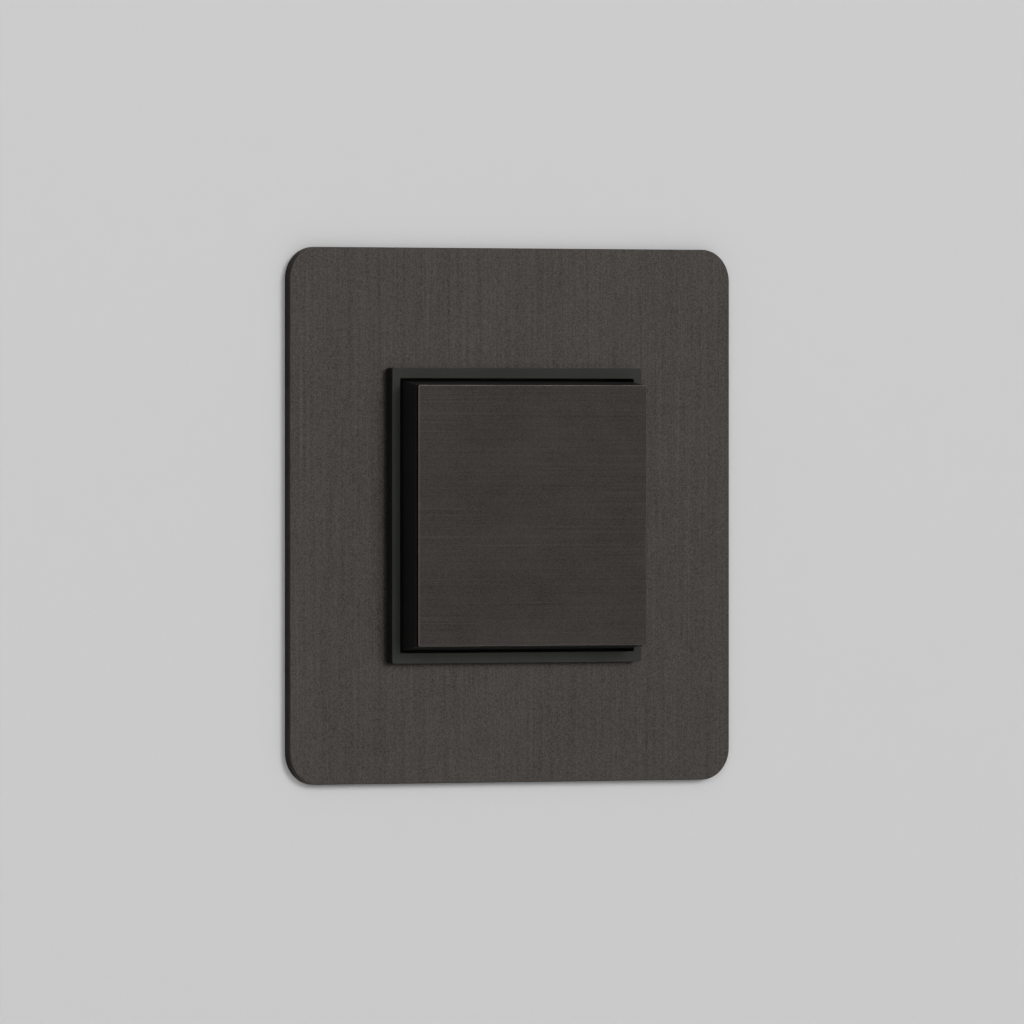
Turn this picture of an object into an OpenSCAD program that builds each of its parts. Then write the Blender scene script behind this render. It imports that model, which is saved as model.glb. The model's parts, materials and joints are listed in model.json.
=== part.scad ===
// Flush rocker wall switch: a brushed cover plate, a square collar and one sprung rocker over a
// changeover contact, held by a yoke that screws to a wall box.
// Each piece is drawn lying on its back: X to the right, Y up the wall, Z out of the wall.
// stand() turns it upright, so that the wall is the plane Y = 0 and the rocker faces -Y.

/* [Cover plate] */
// Width of the cover plate
plate_w = 86; // [84:0.5:100]
// Height of the cover plate
plate_h = 88.5; // [84:0.5:110]
// Thickness of the cover plate
plate_t = 1.8; // [1.4:0.1:3]
// Radius of the plate's corners
plate_corner_r = 5.3; // [1:0.1:8]
// Depth of the recess in the plate's back that takes the clip frame
plate_recess = 0.3; // [0.2:0.05:0.6]
// Rim of the clip frame outside the screw heads
frame_rim = 1.2; // [0.8:0.1:2]
// Thickness of the hooks that hold the plate to the yoke
hook_t = 1.2; // [1:0.1:1.6]
// Width of each hook
hook_w = 5; // [4:0.5:7]
// Distance between the left and the right hooks
hook_pitch = 36; // [32:1:40]
// Reach of the snap barbs on the hooks and the collar's legs
barb = 0.7; // [0.5:0.05:0.8]

/* [Collar] */
// Outer width and height of the collar
collar_size = 48.8; // [47:0.1:52]
// Width of the collar's left and right bars
collar_side_bar = 1.55; // [1.5:0.05:2]
// Width of the collar's top and bottom bars
collar_end_bar = 1.75; // [1.6:0.05:2.2]
// Height of the collar above the plate
collar_proud = 1.9; // [1:0.1:2.5]
// Radius of the collar's outer corners
collar_corner_r = 0.4; // [0.2:0.1:1]
// Lap of the collar over the edge of the plate's window
collar_lap = 0.8; // [0.5:0.05:0.9]
// Width of each snap leg under the collar
leg_w = 6; // [4:0.5:8]
// Distance between the two legs of one side
leg_pitch = 17; // [14:0.5:20]
// Reach of the legs behind the yoke
leg_reach = 2.4; // [2:0.1:2.8]

/* [Rocker] */
// Gap between the rocker and the collar at each side
rocker_side_gap = 0.52; // [0.3:0.02:0.8]
// Gap between the rocker and the collar at the top and the bottom
rocker_end_gap = 0.48; // [0.4:0.02:0.8]
// Draw-in of the rocker's top and bottom edges towards the face
rocker_draft = 0.58; // [0.2:0.02:1.2]
// Height of the rocker's face above the collar
rocker_proud = 4.8; // [3.5:0.1:7]
// Tilt of the rocker each way from level, in degrees
rocker_tilt = 4; // [2:0.5:5]
// Thickness of the metal face
face_t = 0.8; // [0.4:0.1:1]
// Radius of the metal face's corners
face_corner_r = 0.3; // [0.1:0.1:1]
// Thickness of the paddle's side walls
paddle_wall = 1.6; // [1.2:0.1:2.2]
// Thickness of the paddle's top
paddle_top_t = 2; // [1.5:0.1:2.4]

/* [Pivot] */
// Depth of the pivot behind the front of the collar
pivot_depth = 3.7; // [2:0.1:4.5]
// Diameter of the two pivot pins
pin_d = 2; // [1.5:0.1:3]
// Distance between the middles of the two ears that hold the pins
ear_pitch = 31; // [29:0.5:34]
// Thickness of each ear
ear_t = 3; // [2:0.1:4]
// Thickness of the paddle's bosses on the pins
boss_t = 3.8; // [3:0.1:5]
// Wall round a pin in its ear and in its boss
pin_wall = 2.2; // [1.8:0.1:2.6]
// Depth of the deck behind the pivot
deck_depth = 7.5; // [7.2:0.1:10]

/* [Springs] */
// Wire diameter of the return springs
return_wire_d = 0.6; // [0.4:0.05:0.8]
// Mean coil diameter of the return springs
return_coil_d = 4.8; // [4:0.1:6]
// Turns of each return spring
return_turns = 6; // [4:1:8]
// Distance between the two return springs
return_pitch = 28; // [24:0.5:32]
// Wall and height of the cups that seat the return springs
cup_wall = 0.8; // [0.6:0.1:1.2]
// Wire diameter of the plunger spring
plunger_wire_d = 0.45; // [0.3:0.05:0.5]
// Mean coil diameter of the plunger spring
plunger_coil_d = 3.6; // [3.2:0.1:4]
// Turns of the plunger spring
plunger_turns = 5; // [4:1:6]

/* [Plunger] */
// Diameter of the plunger's body
plunger_d = 5; // [4.8:0.1:6]
// Length of the plunger's body
plunger_len = 4.2; // [3.5:0.1:4.5]
// Diameter of the plunger's nose
nose_d = 3.8; // [3:0.1:4.4]
// Radius of the round tip of the nose
nose_tip_r = 2.2; // [2.2:0.1:3]
// Wall of the post that guides the plunger
post_wall = 1.1; // [0.8:0.1:1.6]
// Length of the post behind the pivot
post_reach = 6; // [5:0.1:6.4]

/* [Contacts] */
// Turn of the contact for each degree of rocker tilt
contact_ratio = 1.5; // [1.2:0.1:1.8]
// Depth of the contact's pivot behind the deck
contact_depth = 4; // [3.8:0.1:6]
// Distance of each contact tip from the contact's pivot
contact_arm = 10.3; // [9.5:0.1:11]
// Width of the moving contact
contact_w = 8; // [6:0.5:10]
// Thickness of the moving contact's arms
contact_t = 1; // [0.8:0.1:1.4]
// Overhang of the arms beyond the contact tips
contact_lip = 0.4; // [0.2:0.1:0.8]
// Height of the dimple for the plunger above the arms
dimple_rise = 0.4; // [0.3:0.05:0.8]
// Slope of the dimple's two sides, in degrees
dimple_slope = 15; // [12:1:18]
// Run of the humps beside the dimple
hump_run = 1.5; // [1:0.1:2]
// Diameter of the moving contact tips
tip_d = 3.2; // [2.4:0.1:4]
// Height of the moving contact tips
tip_h = 0.9; // [0.7:0.1:1.4]
// Radius of the domes of the moving contact tips
tip_dome_r = 2.6; // [2.4:0.1:3.5]
// Diameter of the fixed contact buttons
button_d = 3.6; // [3:0.1:4.4]
// Height of the fixed contact buttons
button_h = 0.8; // [0.5:0.1:1.2]
// Diameter of the round edge that the contact rocks on
edge_d = 1.6; // [1.4:0.1:2]
// Thickness of the web that carries that edge
edge_web = 1.1; // [0.9:0.1:1.2]
// Height of the contact's underside above its pivot
edge_rise = 0.2; // [0.15:0.05:0.3]

/* [Terminals] */
// Diameter of the wire holes
wire_bore_d = 3.2; // [2.4:0.1:3.6]
// Depth of the wire holes
wire_bore_len = 7.5; // [7.2:0.1:10]
// Wall of a terminal round its wire hole, where the screw is
terminal_wall = 2.4; // [1.8:0.1:2.8]
// Wall of a terminal at the far side of its wire hole
terminal_back_wall = 1.2; // [1:0.1:1.6]
// Wall of a terminal at the blind end of its wire hole
terminal_end = 1.5; // [1:0.1:2]
// Width of the terminal strips
strip_w = 6.4; // [5:0.1:7.5]
// Thickness of the terminal strips
strip_t = 1; // [0.8:0.1:1.2]
// Depth of the common strip behind the contact's pivot
common_drop = 4.2; // [4:0.1:6]
// Diameter of the terminal screws
terminal_screw_d = 3; // [2.5:0.1:3.2]
// Head diameter of the terminal screws
terminal_head_d = 4.8; // [4:0.1:5.2]
// Distance of a terminal screw from the blind end of the wire hole
terminal_screw_in = 2.1; // [1.8:0.1:2.6]

/* [Cradle and housing] */
// Wall of the cradle and of the rear housing
case_wall = 1.6; // [1.3:0.1:1.8]
// Thickness of the cradle's flange
flange_t = 1.6; // [1.2:0.1:1.8]
// Lap of the flange beyond the collar
flange_lap = 0.4; // [0.2:0.1:0.6]
// Thickness of the cradle's deck
deck_t = 1.5; // [1.2:0.1:2.5]
// Height of the terminals behind the back of the housing
terminal_proud = 0.8; // [0.4:0.1:1.5]
// Diameter of the housing screws
housing_screw_d = 2; // [1.6:0.1:2.4]
// Head diameter of the housing screws
housing_head_d = 4; // [3.4:0.1:4.4]
// Head height of the housing screws
housing_head_h = 1.4; // [1.2:0.1:2]
// Wall round the housing screws
screw_wall = 1.6; // [1.4:0.1:2]
// Depth of the seats of the housing screws behind the deck
screw_seat_depth = 5; // [4:0.5:7]

/* [Yoke] */
// Thickness of the yoke
yoke_t = 1.2; // [1:0.1:1.6]
// Width of the yoke's bands above and below its opening
yoke_band = 7.1; // [6.8:0.1:9]
// Margin of the yoke beyond the screw heads
yoke_margin = 0.8; // [0.5:0.1:2]
// Radius of the yoke's corners
yoke_corner_r = 2; // [1:0.1:3]
// Depth of the yoke's front behind the wall
yoke_setback = 2; // [1.9:0.1:3]
// Depth of the stiffening lips on the yoke
lip_depth = 3; // [2:0.1:6]
// Width of each stiffening lip
lip_w = 10; // [8:0.5:14]
// Thickness of the spring clips that hold the cradle to the yoke
clip_t = 0.5; // [0.4:0.05:0.6]
// Width of the spring clips
clip_w = 8; // [6:0.5:10]
// Length of the flat root of the spring clips
clip_root = 1.8; // [1.5:0.1:2.4]
// Reach of the spring clips from their root
clip_reach = 1.4; // [1.2:0.1:1.8]

/* [Fixings] */
// Distance between the two fixing screws
fixing_pitch = 60.3; // [58:0.1:66]
// Thread diameter of the fixing screws
fixing_screw_d = 3.5; // [3.2:0.1:4]
// Neck diameter of the fixing screws
fixing_neck_d = 2.8; // [2.4:0.1:3]
// Length of the fixing screws under the head
fixing_screw_len = 25; // [16:1:40]
// Head diameter of the fixing screws
fixing_head_d = 6.4; // [5.5:0.1:7]
// Head height of the fixing screws
fixing_head_h = 1.6; // [1.2:0.1:1.7]
// Height adjustment that the slots of the fixing screws allow
slot_travel = 2.4; // [0.5:0.1:3]
// Thickness of the retainer washers on the fixing screws
retainer_t = 0.8; // [0.5:0.1:1.2]
// Width of the screwdriver slots
drive_slot_w = 0.8; // [0.6:0.1:1.2]
// Depth of the screwdriver slots
drive_slot_d = 0.7; // [0.5:0.1:0.9]

/* [Earth] */
// Diameter of the rivet of the earth terminal
earth_rivet_d = 3; // [2:0.1:3.6]
// Thickness of the earth leaf
leaf_t = 0.4; // [0.3:0.05:0.5]
// Width of the earth leaf
leaf_w = 3; // [2:0.1:4]
// Length of the earth leaf
leaf_len = 9; // [7.5:0.1:11]
// Length of the leaf's foot on the yoke
leaf_foot = 3.5; // [2:0.1:4]
// Length of the leaf's tail beyond its crest
leaf_tail = 1.6; // [1:0.1:2]

/* [Fits] */
// Clearance round pieces that seat in each other
seat_fit = 0.1; // [0.05:0.05:0.15]
// Radial clearance of pieces that turn or slide on each other
running_fit = 0.05; // [0.03:0.01:0.08]
// Radial clearance of pins and screws that are driven in
driven_fit = 0.02; // [0.01:0.01:0.04]
// Clearance round pieces that pass through an opening
pass_fit = 0.3; // [0.2:0.05:0.4]
// Gap left at the end of each motion
stop_gap = 0.3; // [0.2:0.05:0.5]
// Gap between the plunger and the contact at rest
plunger_gap = 0.2; // [0.15:0.05:0.3]
// Gap left between closed contacts
closed_gap = 0.07; // [0.05:0.01:0.1]

/* [Hidden] */
$fn = 48;
// How far cuts run past a face, and joined forms into each other
cut = 1;
sink = 0.2;
coil_rings = 8;
coil_sides = 6;

BRONZE = [0.28, 0.26, 0.25];
FACE_BRONZE = [0.24, 0.22, 0.21];
BLACK = [0.09, 0.09, 0.09];
GREY = [0.32, 0.33, 0.34];
IVORY = [0.85, 0.83, 0.77];
ZINC = [0.68, 0.70, 0.72];
STEEL = [0.55, 0.56, 0.58];
BRASS = [0.80, 0.64, 0.32];
COPPER = [0.78, 0.47, 0.33];
SILVER = [0.86, 0.86, 0.85];

// Levels along Z, from the face of the rocker to the pivot of the contact
collar_front = plate_t + collar_proud;
face_front = collar_front + rocker_proud;
paddle_top = face_front - face_t;
paddle_under = paddle_top - paddle_top_t;
pivot_z = collar_front - pivot_depth;
yoke_front = -yoke_setback;
yoke_back = yoke_front - yoke_t;
flange_top = yoke_front + flange_t;
deck_top = pivot_z - deck_depth;
deck_back = deck_top - deck_t;
contact_z = deck_back - contact_depth;

// Collar, window and what passes through them
window = collar_size - 2 * collar_lap;
skirt = window - 2 * seat_fit;
opening_w = collar_size - 2 * collar_side_bar;
opening_h = collar_size - 2 * collar_end_bar;
case_w = opening_w - 2 * seat_fit;
case_h = opening_h - 2 * seat_fit;
flange = collar_size + 2 * flange_lap;
leg_in = opening_h / 2;
leg_out = skirt / 2;
leg_end = yoke_back - leg_reach;
catch_top = leg_end + 1.5 * barb;

// Rocker
rocker_w = opening_w - 2 * rocker_side_gap;
base_half_h = opening_h / 2 - rocker_end_gap;
face_half_h = base_half_h - rocker_draft;
paddle_base = flange_top + stop_gap + base_half_h * sin(rocker_tilt);

// Pivot
pin_bore_d = pin_d + 2 * running_fit;
ear_r = pin_d / 2 + pin_wall;
ear_in = ear_pitch / 2 - ear_t / 2;
ear_out = ear_pitch / 2 + ear_t / 2;
boss_out = ear_in - pass_fit;
boss_in = boss_out - boss_t;

// Contact bar, from its pivot up
contact_turn = contact_ratio * rocker_tilt;
contact_under = contact_z + edge_rise;
contact_top = contact_under + contact_t;
contact_end = contact_arm + tip_d / 2 + contact_lip;
dimple_z = contact_top + dimple_rise;
hump_y = nose_d / 2 + hump_run;
hump_z = dimple_z + hump_y * tan(dimple_slope);

// Plunger, in the post under the paddle
plunger_bore_d = plunger_d + 2 * running_fit;
post_d = plunger_bore_d + 2 * post_wall;
post_end = pivot_z - post_reach;
plunger_bore_top = paddle_under - paddle_top_t / 2;
plunger_tip = dimple_z + plunger_gap;
nose_top = post_end + stop_gap;
plunger_top = nose_top + plunger_len;

// Return springs and their seats
cup_bore_d = return_coil_d + return_wire_d + 2 * pass_fit;
peg_d = return_coil_d - return_wire_d - 2 * pass_fit;

// Fixed contacts: the moving tips just clear them at the end of the tilt
dome_rise = edge_rise - tip_h + tip_dome_r;
dome_drop = contact_arm * sin(contact_turn) - dome_rise * cos(contact_turn) + tip_dome_r;
button_front = contact_z - dome_drop - closed_gap;
strip_front = button_front - button_h;
common_front = contact_z - common_drop;

// Terminals and the rear housing
terminal_back = strip_front - terminal_end - wire_bore_len;
terminal_half = wire_bore_d / 2 + terminal_wall;
terminal_screw_z = terminal_back + wire_bore_len - terminal_screw_in;
terminal_head_h = case_wall - seat_fit;
housing_back = terminal_back + terminal_proud;
housing_floor = housing_back + case_wall;
screw_post = housing_screw_d + 2 * screw_wall;
screw_x = case_w / 2 - case_wall - housing_screw_d / 2 - screw_wall + seat_fit;
screw_y = case_h / 2 - case_wall - housing_screw_d / 2 - screw_wall + seat_fit;
screw_seat = deck_back - screw_seat_depth;
screw_boss_top = yoke_back - stop_gap;
screw_top = screw_boss_top - 2 * stop_gap;

// Yoke and clip frame
yoke_open_w = case_w + 2 * pass_fit;
yoke_open_h = case_h + 2 * pass_fit;
yoke_w = fixing_pitch + fixing_head_d + 2 * yoke_margin;
yoke_h = yoke_open_h + 2 * yoke_band;
band_y = yoke_open_h / 2 + yoke_band / 2;
leaf_y = flange / 2 + seat_fit + leaf_w / 2;
head_notch_w = fixing_head_d + 4 * pass_fit;
frame_w = fixing_pitch + head_notch_w + 2 * frame_rim;
frame_h = yoke_h + 2 * seat_fit;
frame_open = flange + 2 * pass_fit;
hook_out = yoke_h / 2 - yoke_t - barb - 2 * pass_fit;
through_yoke = [yoke_back - cut, yoke_front + cut];
through_frame = [yoke_front - cut, plate_recess + cut];

// Turns a piece that lies on its back upright against the wall
module stand() {
    rotate([90, 0, 0]) children();
}

// A block between two limits on each axis
module block(x, y, z) {
    translate([x[0], y[0], z[0]]) cube([x[1] - x[0], y[1] - y[0], z[1] - z[0]]);
}

// A block about the Z axis, between two levels
module prism(w, h, z) {
    block([-w / 2, w / 2], [-h / 2, h / 2], z);
}

// A round bar along X, Y or Z, between two limits
module bar_x(d, x) {
    translate([x[0], 0, 0]) rotate([0, 90, 0]) cylinder(d = d, h = x[1] - x[0]);
}

module bar_y(d, y) {
    translate([0, y[0], 0]) rotate([-90, 0, 0]) cylinder(d = d, h = y[1] - y[0]);
}

module bar_z(d, z) {
    translate([0, 0, z[0]]) cylinder(d = d, h = z[1] - z[0]);
}

// A slab with round corners, between two levels
module rounded_slab(w, h, r, z) {
    translate([0, 0, z[0]]) linear_extrude(z[1] - z[0]) {
        square([w - 2 * r, h], center = true);
        square([w, h - 2 * r], center = true);
        for (x = [-1, 1], y = [-1, 1])
            translate([x * (w / 2 - r), y * (h / 2 - r)]) circle(r);
    }
}

// An outline in Y and Z, drawn out along X
module along_x(w) {
    rotate([90, 0, 90]) linear_extrude(w, center = true) children();
}

// An outline in X and Z, drawn out along Y
module along_y(w) {
    translate([0, w / 2, 0]) rotate([90, 0, 0]) linear_extrude(w) children();
}

// A piece and its mirror image: left and right, top and bottom, or all four corners
module both_sides() {
    for (s = [0, 1]) mirror([s, 0, 0]) children();
}

module both_ends() {
    for (s = [0, 1]) mirror([0, s, 0]) children();
}

module four_corners() {
    both_sides() both_ends() children();
}

// The middle of a coil's wire at ring k, and point j of the ring round it
function coil_angle(k) = k * 360 / coil_rings;
function coil_lead(d, rise) = atan(rise * coil_rings / (PI * d));
function coil_centre(k, d, z0, rise) =
    [d / 2 * cos(coil_angle(k)), d / 2 * sin(coil_angle(k)), z0 + rise * k];
function coil_point(k, j, d, wire, z0, rise) =
    let (a = coil_angle(k), s = j * 360 / coil_sides, lead = coil_lead(d, rise))
    coil_centre(k, d, z0, rise)
    + wire / 2 * cos(s) * [cos(a), sin(a), 0]
    + wire / 2 * sin(s) * [sin(a) * sin(lead), -cos(a) * sin(lead), cos(lead)];

// Rise of a coil from ring to ring, and the least gap between its turns
function coil_rise(wire, turns, z) = (z[1] - z[0] - wire) / (turns * coil_rings);
function coil_gap(d, wire, turns, z) =
    let (rise = coil_rise(wire, turns, z), last = turns * coil_rings, half = coil_rings / 2)
    min([for (i = [0:last - half], j = [i + half:last])
        norm(coil_centre(i, d, 0, rise) - coil_centre(j, d, 0, rise))]) - wire;

// A helical spring about the Z axis, one unbroken wire between two levels
module coil(d, wire, turns, z) {
    rise = coil_rise(wire, turns, z);
    last = turns * coil_rings;
    end = last * coil_sides;
    points = [for (k = [0:last], j = [0:coil_sides - 1]) coil_point(k, j, d, wire, z[0] + wire / 2, rise)];
    side = [for (k = [0:last - 1], j = [0:coil_sides - 1])
        let (a = k * coil_sides + j, b = k * coil_sides + (j + 1) % coil_sides)
        each [[a, b, a + coil_sides], [b, b + coil_sides, a + coil_sides]]];
    first_cap = [for (j = [1:coil_sides - 2]) [0, j + 1, j]];
    last_cap = [for (j = [1:coil_sides - 2]) [end, end + j, end + j + 1]];
    polyhedron(points, concat(side, first_cap, last_cap));
}

// A slotted screw head on the Z axis, facing up from level z
module slotted_head(d, h, z) {
    difference() {
        bar_z(d, [z, z + h]);
        prism(d + cut, drive_slot_w, [z + h - drive_slot_d, z + h + cut]);
    }
}

// The cover plate, with a window for the collar and a recess in its back
module cover_plate() {
    color(BRONZE) stand() difference() {
        rounded_slab(plate_w, plate_h, plate_corner_r, [0, plate_t]);
        prism(window, window, [-cut, plate_t + cut]);
        prism(frame_w + 2 * seat_fit, frame_h + 2 * seat_fit, [-cut, plate_recess]);
    }
}

// One hook of the clip frame, with its barb behind the yoke
module plate_hook() {
    hook_in = hook_out - hook_t;
    hook_end = yoke_back - 2 * barb;
    outline = [
        [hook_in, plate_recess], [hook_out, plate_recess], [hook_out, yoke_back],
        [hook_out + barb, yoke_back], [hook_out, hook_end], [hook_in, hook_end]
    ];
    translate([hook_pitch / 2, 0, 0]) along_x(hook_w) polygon(outline);
}

// A notch from the clip frame's opening that takes the head of a fixing screw
module head_notch() {
    translate([fixing_pitch / 2, 0, 0]) bar_z(head_notch_w, through_frame);
    block([0, fixing_pitch / 2], [-head_notch_w / 2, head_notch_w / 2], through_frame);
}

// The frame bonded into the plate's back, which hooks into the yoke and leaves room for the earth leaf
module plate_clip_frame() {
    leaf_room_x = leaf_len / 2 + pass_fit;
    leaf_room_y = leaf_y + leaf_w / 2 + pass_fit;
    color(BLACK) stand() {
        difference() {
            prism(frame_w, frame_h, [yoke_front, plate_recess]);
            prism(frame_open, frame_open, through_frame);
            both_sides() head_notch();
            block([-leaf_room_x, leaf_room_x], [0, leaf_room_y], through_frame);
        }
        four_corners() plate_hook();
    }
}

// One snap leg of the collar, with a barb that catches in the cradle's wall
module collar_leg() {
    outline = [
        [leg_in, plate_t], [leg_out, plate_t], [leg_out, leg_end], [leg_in, leg_end],
        [leg_in - barb, leg_end + barb], [leg_in - barb, catch_top], [leg_in, catch_top]
    ];
    translate([leg_pitch / 2, 0, 0]) along_x(leg_w) polygon(outline);
}

// The square collar that frames the rocker and laps over the plate
module collar() {
    color(BLACK) stand() {
        difference() {
            union() {
                rounded_slab(collar_size, collar_size, collar_corner_r, [plate_t, collar_front]);
                prism(skirt, skirt, [flange_top, plate_t + sink]);
            }
            prism(opening_w, opening_h, [flange_top - cut, collar_front + cut]);
        }
        four_corners() collar_leg();
    }
}

// A slot with round ends that runs along Y
module fixing_slot() {
    slot_w = fixing_screw_d + pass_fit;
    both_ends() translate([0, slot_travel / 2, 0]) bar_z(slot_w, through_yoke);
    prism(slot_w, slot_travel, through_yoke);
}

// The pressed yoke, with openings for the screws, the hooks, the collar's legs and the earth rivet
module yoke() {
    hook_half = hook_w / 2 + pass_fit;
    leg_half = leg_w / 2 + pass_fit;
    hook_room = [hook_out - hook_t - barb - seat_fit, hook_out + seat_fit];
    color(ZINC) stand() {
        difference() {
            rounded_slab(yoke_w, yoke_h, yoke_corner_r, [yoke_back, yoke_front]);
            prism(yoke_open_w, yoke_open_h, through_yoke);
            both_sides() translate([fixing_pitch / 2, 0, 0]) fixing_slot();
            four_corners() translate([hook_pitch / 2, 0, 0])
                block([-hook_half, hook_half], hook_room, through_yoke);
            four_corners() translate([leg_pitch / 2, 0, 0])
                block([-leg_half, leg_half], [0, leg_out + pass_fit], through_yoke);
            translate([0, -band_y, 0]) bar_z(earth_rivet_d + 2 * driven_fit, through_yoke);
        }
        four_corners() translate([hook_pitch / 2, 0, 0])
            block([-lip_w / 2, lip_w / 2], [yoke_h / 2 - yoke_t, yoke_h / 2],
                [yoke_back - lip_depth, yoke_front]);
    }
}

// The two captive screws that hold the yoke to a wall box
module fixing_screws() {
    neck_end = yoke_back - retainer_t;
    color(STEEL) stand() both_sides() translate([fixing_pitch / 2, 0, 0]) {
        slotted_head(fixing_head_d, fixing_head_h, yoke_front);
        bar_z(fixing_neck_d, [neck_end - sink, yoke_front + sink]);
        bar_z(fixing_screw_d, [yoke_front - fixing_screw_len, neck_end]);
    }
}

// Washers behind the yoke that keep the fixing screws from falling out
module screw_retainers() {
    color(IVORY) stand() both_sides() translate([fixing_pitch / 2, 0, 0]) difference() {
        bar_z(fixing_head_d, [yoke_back - retainer_t, yoke_back]);
        bar_z(fixing_neck_d + 2 * driven_fit, [yoke_back - retainer_t - cut, yoke_back + cut]);
    }
}

// A terminal screw along Z, backed out of the wire hole: its tip is at z = 0
module terminal_screw() {
    bar_z(terminal_screw_d, [0, terminal_wall + sink]);
    slotted_head(terminal_head_d, terminal_head_h, terminal_wall);
}

// The earth terminal, riveted to the lower band of the yoke
module earth_terminal() {
    half_y = wire_bore_d / 2 + terminal_back_wall;
    back = yoke_back - terminal_end - wire_bore_len;
    color(BRASS) stand() translate([0, -band_y, 0]) difference() {
        union() {
            block([-terminal_half, terminal_half], [-half_y, half_y], [back, yoke_back]);
            bar_z(earth_rivet_d, [back, yoke_front]);
        }
        bar_z(wire_bore_d, [back - cut, back + wire_bore_len]);
        translate([0, 0, back + wire_bore_len - terminal_screw_in])
            bar_x(terminal_screw_d + 2 * driven_fit, [0, terminal_half + cut]);
    }
}

// The screw of the earth terminal
module earth_screw() {
    tip_x = wire_bore_d / 2 + seat_fit;
    color(STEEL) stand() translate([tip_x, -band_y, yoke_back - terminal_end - terminal_screw_in])
        rotate([0, 90, 0]) terminal_screw();
}

// The leaf that earths the plate: it stands on the yoke and presses on the plate's back
module earth_leaf() {
    foot = leaf_foot - leaf_len / 2;
    crest = leaf_len / 2 - leaf_tail;
    outline = [
        [-leaf_len / 2, yoke_front], [foot, yoke_front], [crest, plate_recess - leaf_t],
        [leaf_len / 2, plate_recess - 2 * leaf_t], [leaf_len / 2, plate_recess - leaf_t],
        [crest, plate_recess], [foot - leaf_t / 2, yoke_front + leaf_t], [-leaf_len / 2, yoke_front + leaf_t]
    ];
    color(COPPER) stand() translate([0, leaf_y, 0]) along_y(leaf_w) polygon(outline);
}

// An ear of the cradle that holds a pivot pin
module ear() {
    block([ear_in, ear_out], [-ear_r, ear_r], [deck_back, pivot_z]);
    translate([0, 0, pivot_z]) bar_x(2 * ear_r, [ear_in, ear_out]);
}

// The cradle's flange, walls and deck, with its ears, screw bosses and spring cups
module cradle_body() {
    difference() {
        union() {
            prism(flange, flange, [yoke_front, flange_top]);
            prism(case_w, case_h, [deck_back, flange_top]);
        }
        prism(case_w - 2 * case_wall, case_h - 2 * case_wall, [deck_top, flange_top + cut]);
    }
    both_sides() ear();
    four_corners() translate([screw_x, screw_y, 0]) bar_z(screw_post, [deck_back, screw_boss_top]);
    both_ends() translate([0, return_pitch / 2, 0])
        bar_z(cup_bore_d + 2 * cup_wall, [deck_back, deck_top + 2 * cup_wall]);
}

// Room in the cradle for a leg of the collar and for its barb
module leg_room() {
    leg_half = leg_w / 2 + pass_fit;
    block([-leg_half, leg_half], [case_h / 2, leg_out + pass_fit], [yoke_front - cut, flange_top + cut]);
    block([-leg_half, leg_half], [leg_in - barb - seat_fit, case_h / 2 + cut],
        [leg_end - seat_fit, catch_top + seat_fit]);
}

// The cradle that carries the rocker and drops into the yoke from the front
module cradle() {
    swing = (pivot_z - plunger_tip) * sin(rocker_tilt);
    slot_w = plunger_d + 2 * stop_gap;
    clip_half = clip_w / 2 + seat_fit;
    color(BLACK) stand() difference() {
        cradle_body();
        both_sides() translate([0, 0, pivot_z])
            bar_x(pin_d + 2 * driven_fit, [ear_in - cut, ear_out + cut]);
        prism(slot_w, slot_w + 2 * swing, [deck_back - cut, deck_top + cut]);
        both_ends() translate([0, return_pitch / 2, 0]) bar_z(cup_bore_d, [deck_top, paddle_base]);
        four_corners() translate([screw_x, screw_y, 0])
            bar_z(housing_screw_d + 2 * driven_fit, [deck_back - cut, screw_boss_top - stop_gap]);
        both_sides() block([case_w / 2 - clip_t - seat_fit, case_w / 2 + cut], [-clip_half, clip_half],
            [deck_back - cut, yoke_back]);
        four_corners() translate([leg_pitch / 2, 0, 0]) leg_room();
    }
}

// Spring clips in the cradle's sides that catch behind the yoke
module retaining_clips() {
    root = case_w / 2 - clip_t - seat_fit;
    low = deck_back + seat_fit;
    bend = low + clip_root;
    high = yoke_back - running_fit;
    outline = [
        [root, low], [root + clip_t, low], [root + clip_t, bend],
        [root + clip_reach + clip_t, high], [root + clip_reach, high], [root, bend]
    ];
    color(STEEL) stand() both_sides() along_y(clip_w) polygon(outline);
}

// The two pins that the rocker turns on
module pivot_pins() {
    color(STEEL) stand() both_sides() translate([0, 0, pivot_z])
        bar_x(pin_d, [boss_in, ear_out + seat_fit]);
}

// Outer face of a terminal in a case of a given size, and the places of its wire hole and inner face
function terminal_reach(size) = size / 2 - case_wall - seat_fit;
function terminal_bore(reach) = reach - terminal_wall - wire_bore_d / 2;
function terminal_in(reach) = terminal_bore(reach) - wire_bore_d / 2 - terminal_back_wall;

// The solid form of the rear housing: walls, floor, screw posts and the rests of the strips
module housing_body() {
    difference() {
        prism(case_w, case_h, [housing_back, deck_back]);
        prism(case_w - 2 * case_wall, case_h - 2 * case_wall, [housing_floor, deck_back + cut]);
    }
    four_corners() translate([screw_x, screw_y, 0])
        prism(screw_post, screw_post, [housing_back, deck_back]);
    both_ends() translate([0, contact_arm, 0])
        prism(strip_w, case_wall, [housing_back, strip_front - strip_t]);
    prism(strip_w, case_wall, [housing_back, common_front - strip_t]);
}

// The window of one terminal in the housing's floor, and the way in for its screw
module terminal_way(reach) {
    half = terminal_half + seat_fit;
    block([-half, half], [terminal_in(reach) - seat_fit, reach + seat_fit],
        [housing_back - cut, housing_floor + cut]);
    translate([0, 0, terminal_screw_z])
        bar_y(terminal_head_d + 2 * pass_fit, [reach, reach + case_wall + seat_fit + cut]);
}

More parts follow.
